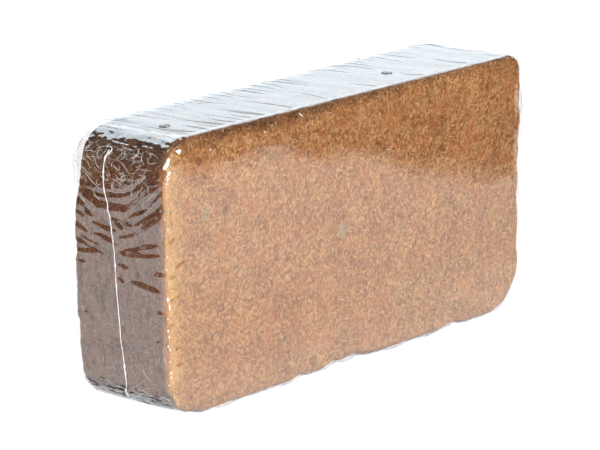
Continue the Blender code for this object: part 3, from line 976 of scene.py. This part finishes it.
# Thin drawn-up creases of film on each end, drawn white: partly the creased film's own whitening, partly
# painted highlight. As (y, z) points in millimetres
END_CREASES = (
    ((8.2, 98.8), (3, 97.7), (-1.2, 96.6), (-5.8, 96.2)),
    ((1.4, 93), (-2, 95.1), (-7.2, 95.6), (-12.2, 94.6), (-13.4, 93.4), (-11, 92.2), (-6, 92.5),
     (-2.5, 93.8), (0, 94.8)),
    ((16.2, 90.5), (12.2, 91.5), (8.5, 92)),
    ((3, 91.8), (-1, 92.1), (-4, 90.5), (-5.2, 88.5), (-7.5, 87.8), (-9.2, 88.8)),
    ((2.2, 85.2), (-1.2, 84.2), (-3.5, 82.2)),
    ((-2, 86.8), (-3.6, 85), (-2, 83.6)),
    ((-7.2, 87.2), (-8.2, 85.5), (-7, 83.8), (-4.8, 83.5)),
    ((17.2, 86.8), (14, 84.8), (12.2, 82.8), (8, 80.6), (6.2, 80.2)),
    ((20.2, 90), (18.5, 88), (15.2, 86.8), (13.5, 85.2), (10.5, 83.8)),
    ((16.5, 98.5), (14, 97.5), (13.8, 95), (16, 93.8), (17.2, 95.8), (15.8, 97.2)),
    ((14.8, 96.6), (14.2, 95.2), (15, 94.6), (15.6, 95.8)),
    ((11.8, 97.8), (9.8, 96.2), (10.2, 94), (12.5, 93)),
    ((-0.8, 97.5), (-4, 97.5), (-7.5, 97.8)),
    ((18, 93), (13, 93.8), (10.2, 93.6)),
    ((-10, 90.5), (-14, 90.2), (-17.2, 90.5)),
    ((5, 81.2), (0, 80.2), (-4.2, 81.2)),
    ((12, 80), (10, 77.8), (7.8, 76.2)),
    ((18.5, 77), (15.5, 75), (14, 73.5)),
    ((-14.2, 79.2), (-17.8, 82.2), (-19.5, 83)),
    ((-11, 73.5), (-15, 76.2), (-18, 78.5)),
    ((-2, 6), (-8, 7.6), (-14, 6.6), (-19, 4.2)),
    ((-3, 9.6), (-9, 13), (-13, 16.6)),
    ((-6, 8.2), (-12, 11.6), (-17, 12.2)),
    ((4, 5.6), (10, 8), (15.5, 7.6)),
    ((3, 3.2), (9, 3.6), (15, 3)),
    ((-4, 3.2), (-10, 4.2), (-16, 3)),
    ((-8, 19), (-11, 17.6), (-13.5, 15.2)),
    ((-12, 20.5), (-14.5, 19), (-16, 16.8)),
)


def crease_lines():
    """The traced creases and more small random ones between them, each as (y, z) points."""
    draw = np.random.default_rng(140)
    lines = [np.array(line) * MM for line in END_CREASES]
    for _ in range(120):
        start = np.array([draw.uniform(-0.016, 0.021), draw.uniform(0.083, 0.099)])
        heading = draw.normal(0.0, 0.5) + math.pi * draw.integers(0, 2)
        bend = draw.normal(0.0, 0.55)
        steps = draw.integers(4, 9)
        angle = heading + bend * np.arange(steps)
        move = stack(np.cos(angle), np.sin(angle)) * draw.uniform(0.0004, 0.0010)
        lines.append(start + np.cumsum(move, axis=0))
    return lines


def smoothed(line, count):
    """A smooth run of points through those of a traced line."""
    reach = np.concatenate([[0], np.cumsum(np.linalg.norm(np.diff(line, axis=0), axis=1))])
    share = np.linspace(0, reach[-1], count)
    dense = np.stack([np.interp(share, reach, line[:, k]) for k in range(line.shape[1])], -1)
    for _ in range(count // 6):
        dense[1:-1] = (dense[:-2] + 2 * dense[1:-1] + dense[2:]) / 4
    return dense


def on_film(block_points, lift):
    """The places on the film, a little off it, of points on its bounding block."""
    points, normals = FILM.project(block_points)
    points = points + normals * (film_height(points, normals)[:, None] + lift)
    points[:, 2] += FILM_FOLLOW * base_lift(points)
    return points


def end_block(side, y, z):
    """Points on one end of the film's bounding block."""
    return stack(np.full_like(y, side * FILM.half[0]), y + MIDDLE_Y, z)


def tubes_on_film(name, lines, material, lift, sides=6):
    """One piece of thin tubes laid on the film. Each line is (points, radii)."""
    parts = [tube(on_film(block_points, lift), radii, sides) for block_points, radii in lines]
    return new_object(name, *joined(parts), material, "film")


def make_creases(name, side, material):
    draw = np.random.default_rng(150 + side)
    lines = []
    for line in crease_lines():
        block = end_block(side, *smoothed(line, CREASE_POINTS).T)
        lines.append((block, draw.uniform(0.00005, 0.00011) * taper(0.12, CREASE_POINTS)))
    return tubes_on_film(name, lines, material, 0.00005, 4)


def foot_lines(seed, count):
    """Short folds that run along the base of an end, as (y, z) points, most of them by the seam."""
    draw = np.random.default_rng(seed)
    share = np.linspace(-0.5, 0.5, FOOT_POINTS)
    for _ in range(count):
        y = draw.normal(-0.001, 0.0075)
        z = 0.0012 + abs(draw.normal(0.0, 0.0026)) + 10 * y * y
        slope = 24 * y + draw.normal(0.0, 0.10)
        length = draw.uniform(0.0016, 0.0062)
        yield stack(np.clip(y + length * share, -0.020, 0.020), z + slope * length * share)


def make_foot_folds(name, side, material, seed, count):
    draw = np.random.default_rng(seed)
    lines = []
    for line in foot_lines(seed, count):
        block = end_block(side, line[:, 0], line[:, 1])
        lines.append((block, draw.uniform(0.00010, 0.00024) * taper(0.15, FOOT_POINTS)))
    return tubes_on_film(name, lines, material, 0.00004, 4)


# Painted highlights: short bright sparkles on the rim between the left end and the front, in millimetres:
# height, length, radius
RIM_PAINTED_GLINTS = (
    (74.1, 0.8, 0.16), (60.6, 0.6, 0.14), (51.1, 0.8, 0.14), (45.5, 1.4, 0.3), (42.5, 2.2, 0.18),
    (34.4, 0.9, 0.2), (32, 0.9, 0.2), (28.9, 1, 0.18), (27.5, 1, 0.2), (19.1, 1, 0.2), (17.3, 1.2, 0.18),
    (14.8, 0.6, 0.14), (70, 0.6, 0.12), (56.2, 0.7, 0.12), (38.6, 0.7, 0.13), (23.2, 0.8, 0.14),
)


# Painted highlights: bright glints on the front film, most at its upper left curve, in millimetres: x, z,
# turn in degrees, length, radius
FRONT_GLINTS = (
    (-92.5, 96.7, 0, 2.6, 0.55), (-92.1, 96, 15, 1.2, 0.4), (-97.7, 94.2, 60, 2, 0.62),
    (-98.4, 92.9, 50, 2.4, 0.8), (-99.2, 92.1, 30, 1.8, 0.72), (-97.6, 89.5, 55, 1.2, 0.46),
    (-97, 90, -20, 1, 0.34), (-98.4, 88.7, 40, 0.8, 0.34), (-98.2, 87.6, 80, 1, 0.3),
    (-97.3, 88, 10, 0.6, 0.22), (-98.4, 86.2, 80, 0.6, 0.18), (-28.7, 98.5, -38, 2.6, 0.2),
    (-48.2, 95.7, 0, 0.6, 0.22), (-76.3, 94.3, 20, 0.8, 0.28),
)


def front_glints():
    for x, z, turn, length, radius in FRONT_GLINTS:
        turn = math.radians(turn)
        run = np.linspace(-0.5, 0.5, GLINT_POINTS) * length
        y = np.full_like(run, MIDDLE_Y - FILM.half[1])
        block = stack((x + run * math.cos(turn)) * MM, y, (z + run * math.sin(turn)) * MM)
        yield block, radius * MM * taper(0.35, GLINT_POINTS)


# Painted highlights: the glints and rim sparkles, drawn as white glowing tubes on the film
def make_rim_creases(material):
    lines = list(front_glints())
    draw = np.random.default_rng(171)
    run = np.linspace(-0.5, 0.5, GLINT_POINTS)
    y = np.full_like(run, MIDDLE_Y - FILM.half[1])
    for z, length, radius in RIM_PAINTED_GLINTS:
        x = np.full_like(run, -FILM.half[0] + draw.uniform(0.0004, 0.0020)) + draw.normal(0, 0.0003) * run
        block = stack(x, y, (z + run * length) * MM)
        lines.append((block, 1.35 * radius * MM * taper(0.3, GLINT_POINTS)))
    return tubes_on_film("film_painted_glints", lines, material, 0.00002)


# Seam bead: its route and hook as (y, z), and its knots as (z, size), in millimetres

SEAM_ROUTE = (
    (4.1, 95.6), (5.3, 92.4), (5.7, 88.9), (6.1, 86.8), (6.2, 83.2), (5.9, 80.1), (4.7, 77.1), (3.6, 73.2),
    (3.3, 70), (2.7, 65.7), (1.8, 59.8), (1.6, 55.4), (1.4, 50.6), (1.2, 46.6), (0.7, 39.8), (0.1, 33),
    (-0.2, 27.3), (-1.1, 22.6), (-1.5, 19.4), (-2, 15.3), (-1.2, 10.3), (1.3, 5.8), (1.6, 3), (1.7, 0.8),
)
SEAM_KNOTS = (
    (92.4, 1.5), (87, 0.8), (80.2, 0.8), (54.1, 0.9), (46.9, 0.7), (18.1, 1.2), (15.5, 0.9), (6.5, 1.4),
    (3.6, 2.2), (1.8, 1.6),
)
SEAM_HOOK = (
    (5.3, 92.4), (4.5, 93.4), (3.6, 94.5), (3, 95.8), (3.6, 96.9), (4.8, 97.2), (6, 96.6),
)


def tube(points, radii, sides=8):
    """Vertices and faces of a closed tube along a line of points."""
    along = np.gradient(points, axis=0)
    along /= np.linalg.norm(along, axis=1, keepdims=True)
    guide = np.array([0.31, 0.87, 0.38])
    first = np.cross(along, guide)
    first /= np.linalg.norm(first, axis=1, keepdims=True)
    second = np.cross(along, first)
    turn = np.arange(sides) * 2 * math.pi / sides
    ring = np.cos(turn)[None, :, None] * first[:, None] + np.sin(turn)[None, :, None] * second[:, None]
    verts = points[:, None] + ring * radii[:, None, None]
    number = np.arange(len(points) * sides).reshape(len(points), sides)
    after = np.roll(number, -1, axis=1)
    quads = stack(number[:-1], after[:-1], after[1:], number[1:]).reshape(-1, 4)
    faces = quads.tolist() + [number[0, ::-1].tolist(), number[-1].tolist()]
    return verts.reshape(-1, 3), faces


def make_seam(name, side, material):
    route = np.array(SEAM_ROUTE)[::-1] * MM
    z = np.linspace(route[0, 1], route[-1, 1], SEAM_POINTS)
    y = np.interp(z, route[:, 1], route[:, 0])
    kernel = np.hanning(21) / np.hanning(21).sum()
    y = np.convolve(np.pad(y, 10, mode="edge"), kernel, mode="valid")
    radii = 0.00018 + 0.00006 * noise(stack(z / 0.002, 0 * z, 0 * z), 70)
    for knot_z, size in SEAM_KNOTS:
        radii = radii + 0.00020 * size * hump(z - knot_z * MM, 0.00055)
    bead = tube(on_film(end_block(side, y, z), SEAM_LIFT), radii)
    hook_line = on_film(end_block(side, *smoothed(np.array(SEAM_HOOK) * MM, HOOK_POINTS).T), SEAM_LIFT)
    hook = tube(hook_line, np.linspace(0.00028, 0.00008, HOOK_POINTS))
    return new_object(name, *joined((bead, hook)), material, "film")


# Studio

def make_camera():
    camera = placed("camera", bpy.data.cameras.new("camera"))
    camera.data.lens = CAMERA_LENS
    camera.data.sensor_width = SENSOR_WIDTH
    camera.data.clip_end = 50.0
    camera.location = CAMERA_PLACE
    turn = Matrix.Rotation(math.radians(CAMERA_AZIMUTH), 3, "Z")
    tilt = Matrix.Rotation(math.radians(90 - CAMERA_ELEVATION), 3, "X")
    roll = Matrix.Rotation(math.radians(CAMERA_ROLL), 3, "Z")
    camera.rotation_euler = (turn @ tilt @ roll).to_euler()
    bpy.context.scene.camera = camera


def emitter(name, colour, strength):
    n = material_nodes(name)
    return n.finish(n.add("Emission", Color=(*colour, 1.0), Strength=strength))


def stage_plane(name, corners, faces, material, glossy_only=False):
    made = mesh_object(name, corners, faces, material)
    if glossy_only:
        made.visible_camera = False
        made.visible_diffuse = False
        made.visible_shadow = False
        made.visible_transmission = False
    return made


def floor_material():
    """A pale floor: just white to the camera, warm in the film's front and cooler in its left end."""
    n = material_nodes("pale floor")
    path = n.add("LightPath")
    side = n.span(n.split(n.place())["Y"], -0.10, 0.0)
    tint = n.mix(side, (1.0, 0.960, 0.860), (1.42, 1.56, 1.60))
    strength = n.math("MULTIPLY_ADD", path.outputs["Is Glossy Ray"], 0.70, 0.12)
    glow = n.add("Emission", Color=tint, Strength=strength)
    matt = n.add("BsdfDiffuse")
    n.put(matt, "Color", (0.8, 0.8, 0.8, 1.0))
    lit = n.add("AddShader")
    n.put(lit, "0", glow)
    n.put(lit, "1", matt)
    white = n.add("Emission", Strength=FLOOR_WHITE)
    return n.finish(n.blend(path.outputs["Is Camera Ray"], lit, white))


def make_world():
    """White to the camera, and a weak even light to everything else."""
    n = Nodes(bpy.data.worlds.new("studio"), "OutputWorld")
    seen = n.add("Background", Color=(1, 1, 1, 1), Strength=1.0)
    lit = n.add("Background", Color=(1, 1, 1, 1), Strength=0.16)
    camera_ray = n.add("LightPath").outputs["Is Camera Ray"]
    bpy.context.scene.world = n.finish(n.blend(camera_ray, lit, seen))


def soft_light(name, place, aim, size, power, mirrored=False):
    """A square light. Where it isn't mirrored, the film shows no image of it."""
    data = bpy.data.lights.new(name, "AREA")
    data.shape = "SQUARE"
    data.size = size
    data.energy = power
    made = placed(name, data)
    made.location = place
    made.rotation_euler = (Vector(aim) - Vector(place)).to_track_quat("-Z", "Y").to_euler()
    made.visible_glossy = mirrored


# Edges of the bright floor as the camera sees it mirrored in the film, in millimetres: along the face, height
FRONT_EDGE = (
    (-101, 94), (-88, 88.5), (-80, 87), (-72.5, 90), (-64.7, 87.5), (-56.7, 90), (-48.7, 91), (-40.6, 91),
    (-32.6, 85.5), (-24.4, 83.5), (-16.1, 80), (-7.7, 81.2), (0.8, 80.7), (9.4, 78.6), (18.1, 76),
    (26.8, 74), (35.7, 69.5), (44.7, 70), (53.8, 69), (62.9, 70), (72.2, 68), (85, 66.5), (101, 64),
)
FRONT_SOFTNESS = (
    (-100, 3), (-40, 3), (0, 4), (40, 8), (70, 22), (100, 35),
)
END_EDGE = (
    (-22.6, 88.5), (-21, 87.9), (-14.8, 86.7), (-7.2, 83.6), (-0.7, 81.8), (7, 80.3), (12.4, 81.5),
    (20, 83.7), (22.6, 85),
)



def flag(name, axis, low, high, darkness, material):
    """A dark card on the floor, drawn through its mirror image in one face of the film.

    Darkness is a function of the place along the face and the height at which the camera sees each point.
    """
    face = FILM.middle[axis] - FILM.half[axis]
    mirrored = np.array(CAMERA_PLACE)
    mirrored[axis] = 2 * face - mirrored[axis]
    across, deep = FLAG_CELLS
    x, y = np.meshgrid(np.linspace(low[0], high[0], across), np.linspace(low[1], high[1], deep),
                       indexing="ij")
    floor_points = stack(x, y, np.full_like(x, FLOOR_Z + 0.0004)).reshape(-1, 3)
    reach = (face - mirrored[axis]) / (floor_points[:, axis] - mirrored[axis])
    seen = mirrored + (floor_points - mirrored) * reach[:, None]
    card = stage_plane(name, floor_points, grid_quads(across, deep), material, True)
    add_layer(card, DARKNESS, darkness(seen[:, 1 - axis], seen[:, 2]))


def along_edge(across_face, table):
    """A value, in metres, read from a table in millimetres."""
    return np.interp(across_face / MM, *zip(*table)) * MM


def front_darkness(x, z):
    edge = along_edge(x, FRONT_EDGE)
    soft = along_edge(x, FRONT_SOFTNESS)
    ragged = 0.0026 * fractal(stack(x / 0.005, z / 0.003, 0 * x), 3, 90)
    return smooth(edge - soft, edge + 0.0010, z + ragged) * smooth(-0.1035, -0.1015, x)


def end_darkness(y, z):
    edge = along_edge(y, END_EDGE)
    ragged = 0.0003 * noise(stack(y / 0.004, z / 0.004, 0 * y), 91)
    return smooth(edge - 0.0004, edge + 0.0004, z + ragged)


def flag_material(name, colour, strength):
    n = material_nodes(name)
    dark = n.add("Emission", Color=(*colour, 1.0), Strength=strength)
    return n.finish(n.blend(n.attribute(DARKNESS), n.add("BsdfTransparent"), dark))


def dome_part(name, azimuths, elevations, material):
    """A glowing sheet on a sphere about the bale, for the film to mirror, between two directions each way."""
    across, up = DOME_CELLS
    azimuth, elevation = np.meshgrid(np.radians(np.linspace(*azimuths, across)),
                                     np.radians(np.linspace(*elevations, up)), indexing="ij")
    flat = DOME_RADIUS * np.cos(elevation)
    verts = stack(flat * np.cos(azimuth), flat * np.sin(azimuth), DOME_RADIUS * np.sin(elevation))
    stage_plane(name, verts.reshape(-1, 3), grid_quads(across, up), material, True)


def make_studio():
    make_camera()
    make_world()
    far = 5.0
    floor = [(-far, -far, FLOOR_Z), (far, -far, FLOOR_Z), (far, far, FLOOR_Z), (-far, far, FLOOR_Z)]
    stage_plane("floor", floor, [(0, 1, 2, 3)], floor_material())
    black = flag_material("black flag", (1, 1, 1), 0.02)
    grey = flag_material("grey flag", (0.95, 0.98, 1.0), 0.12)
    flag("flag_front", 1, (-0.20, -0.52), (0.75, -0.16), front_darkness, black)
    flag("flag_end", 0, (-0.60, -0.20), (-0.24, 0.60), end_darkness, grey)
    z = FLOOR_Z + 0.0008
    far_front = [(-0.30, -0.52, z), (0.95, -0.52, z), (4.0, -far, z), (-3.0, -far, z)]
    stage_plane("flag_front_far", far_front, [(0, 1, 2, 3)], emitter("black card", (1, 1, 1), 0.02), True)
    far_end = [(-0.60, -0.30, z), (-0.60, 0.80, z), (-far, 4.0, z), (-far, -3.0, z)]
    stage_plane("flag_end_far", far_end, [(0, 1, 2, 3)], emitter("grey card", (0.95, 0.98, 1.0), 0.12), True)
    dome_part("backdrop", (10, 80), (2, 24), emitter("backdrop", (0.88, 1.0, 1.08), 2.05))
    dome_part("overhead_box", (-34, 96), (24, 62), emitter("overhead box", (0.86, 1.0, 1.09), 4.5))
    soft_light("key_light", (0.9, -1.9, 1.3), (0, 0, 0.05), 0.7, 20.0)
    soft_light("back_light", (0.9, 1.9, 1.0), (0, 0, 0.05), 0.7, 22)
    soft_light("near_light", (-0.15, -0.60, 0.16), (-0.06, 0, 0.02), 0.20, 2.75)
    soft_light("top_light", (-0.75, -0.85, 1.5), (0, 0, 0.05), 0.7, 1.0, mirrored=True)


def main():
    make_studio()
    bpy.context.scene.view_settings.view_transform = "Standard"
    coir = coir_material()
    fibre = fibre_material("coir fibre", "mixed")
    pale = fibre_material("pale coir fibre", "pale")
    dark = fibre_material("dark coir crumb and painted shade", "dark")
    clear = film_material()
    # The welded seam is white film; its glow is painted light
    weld = white_film_material("welded film seam with painted glow", 0.92, (0.95, 0.95, 0.96), 0.30)
    # Drawn-up film: partly the film's own white, partly painted highlight with a glow; for the end creases
    # and the pale foot folds
    drawn = white_film_material("drawn-up film with painted highlight", 0.70, (0.95, 0.93, 0.90), 0.22)
    # Painted highlight: white with a glow, for the glints and rim sparkles
    glint = white_film_material("painted glint on film", 1.0, (1.0, 0.99, 0.96), 0.35)
    make_coir(coir)
    make_fibres("coir_fibres_front", ((1, -1, 5900, 600, 4800),), fibre, 100)
    make_fibres("coir_fibres_back", ((1, 1, 3900, 400, 3400),), fibre, 200)
    rest = ((0, -1, 1300, 120, 1200), (0, 1, 1300, 120, 1200), (2, 1, 1500, 100, 1500), (2, -1, 900, 60, 600))
    make_fibres("coir_fibres_rest", rest, fibre_material("brown coir fibre", "brown"), 300)
    make_pale_fibres(pale)
    make_rim_crumbs("coir_rim_crumbs", dark)
    make_film(clear)
    shadowed = white_film_material("shadowed film fold", 0.29, (0.16, 0.17, 0.20))
    # Painted shade: dark film for the shaded foot crumples and the dark rings about the vents
    foot = white_film_material("painted shade on film crumple", 0.60, (0.060, 0.040, 0.034))
    make_vent_rims("film_vent_painted_shade_rings", 0.0020, 0.00011, foot)
    collar = white_film_material("vent collar", 0.8, (0.8, 0.8, 0.8))
    make_vent_rims("film_vent_collars", VENT_RADIUS, 0.00026, collar)
    make_pleats(shadowed)
    # Rim fold lines: folded film with painted shade
    make_rim_folds(white_film_material("outer film fold with painted shade", 0.80, (0.34, 0.37, 0.50)))
    make_seam("film_seam_left", -1, weld)
    make_seam("film_seam_right", 1, weld)
    make_creases("film_creases_painted_highlight_left", -1, drawn)
    make_creases("film_creases_painted_highlight_right", 1, drawn)
    # Foot folds: the dark ones are painted shade; the pale ones are drawn-up film with painted highlight
    for name, side in (("left", -1), ("right", 1)):
        make_foot_folds("film_foot_painted_shade_" + name, side, foot, 230 + side, 46)
        make_foot_folds("film_foot_painted_highlight_" + name, side, drawn, 240 + side, 46)
    make_rim_creases(glint)


main()
